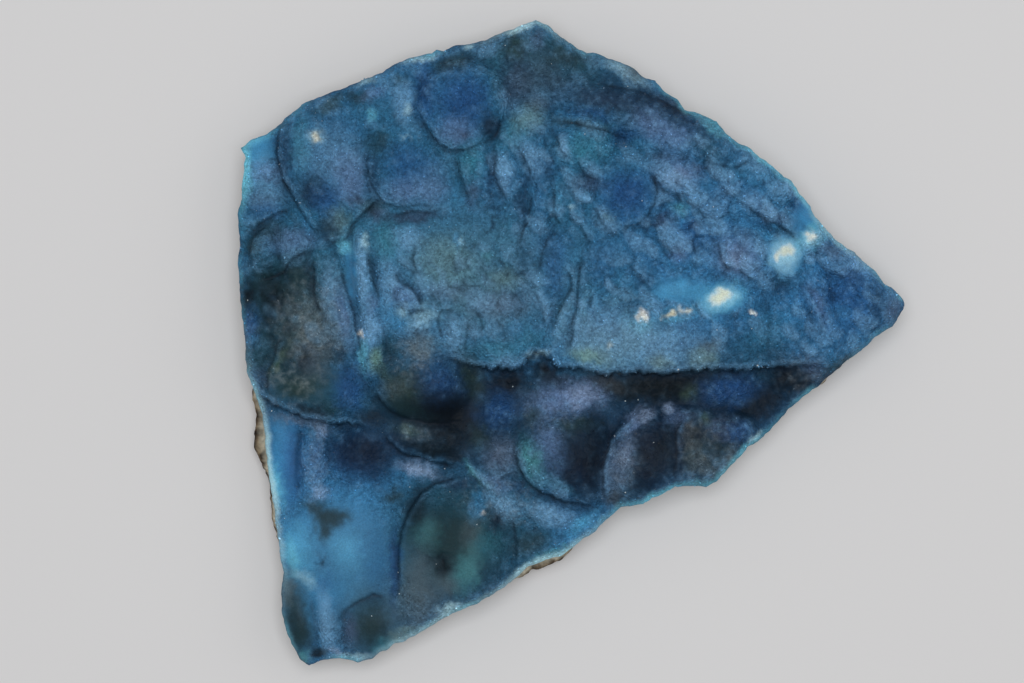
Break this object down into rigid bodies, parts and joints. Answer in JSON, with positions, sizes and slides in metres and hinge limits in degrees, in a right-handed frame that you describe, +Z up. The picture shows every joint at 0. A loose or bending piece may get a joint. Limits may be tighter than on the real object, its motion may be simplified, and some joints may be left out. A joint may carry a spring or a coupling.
{
  "type": "raw hemimorphite",
  "caption": "Thin broken plate of rock under a blue botryoidal hemimorphite crust with a ledge, overlapping lobes and a smoother tail.",
  "frame": {"origin": "on the surface that the plate rests on, at the middle of the plate seen from above", "axes": "+Z up, out of the crust's upper surface; +X to the plate's pointed right tip; +Y up the page of a view from above"},
  "size_m": [0.0993, 0.0963, 0.0131],
  "materials": {
    "hemimorphite": "frosted by tiny crystals, waxy on the tail",
    "matrix": "rough broken rock, banded"
  },
  "bodies": {
    "root": {"hemimorphite_crust": "hemimorphite", "matrix_rock": "matrix"}
  },
  "joints": []
}
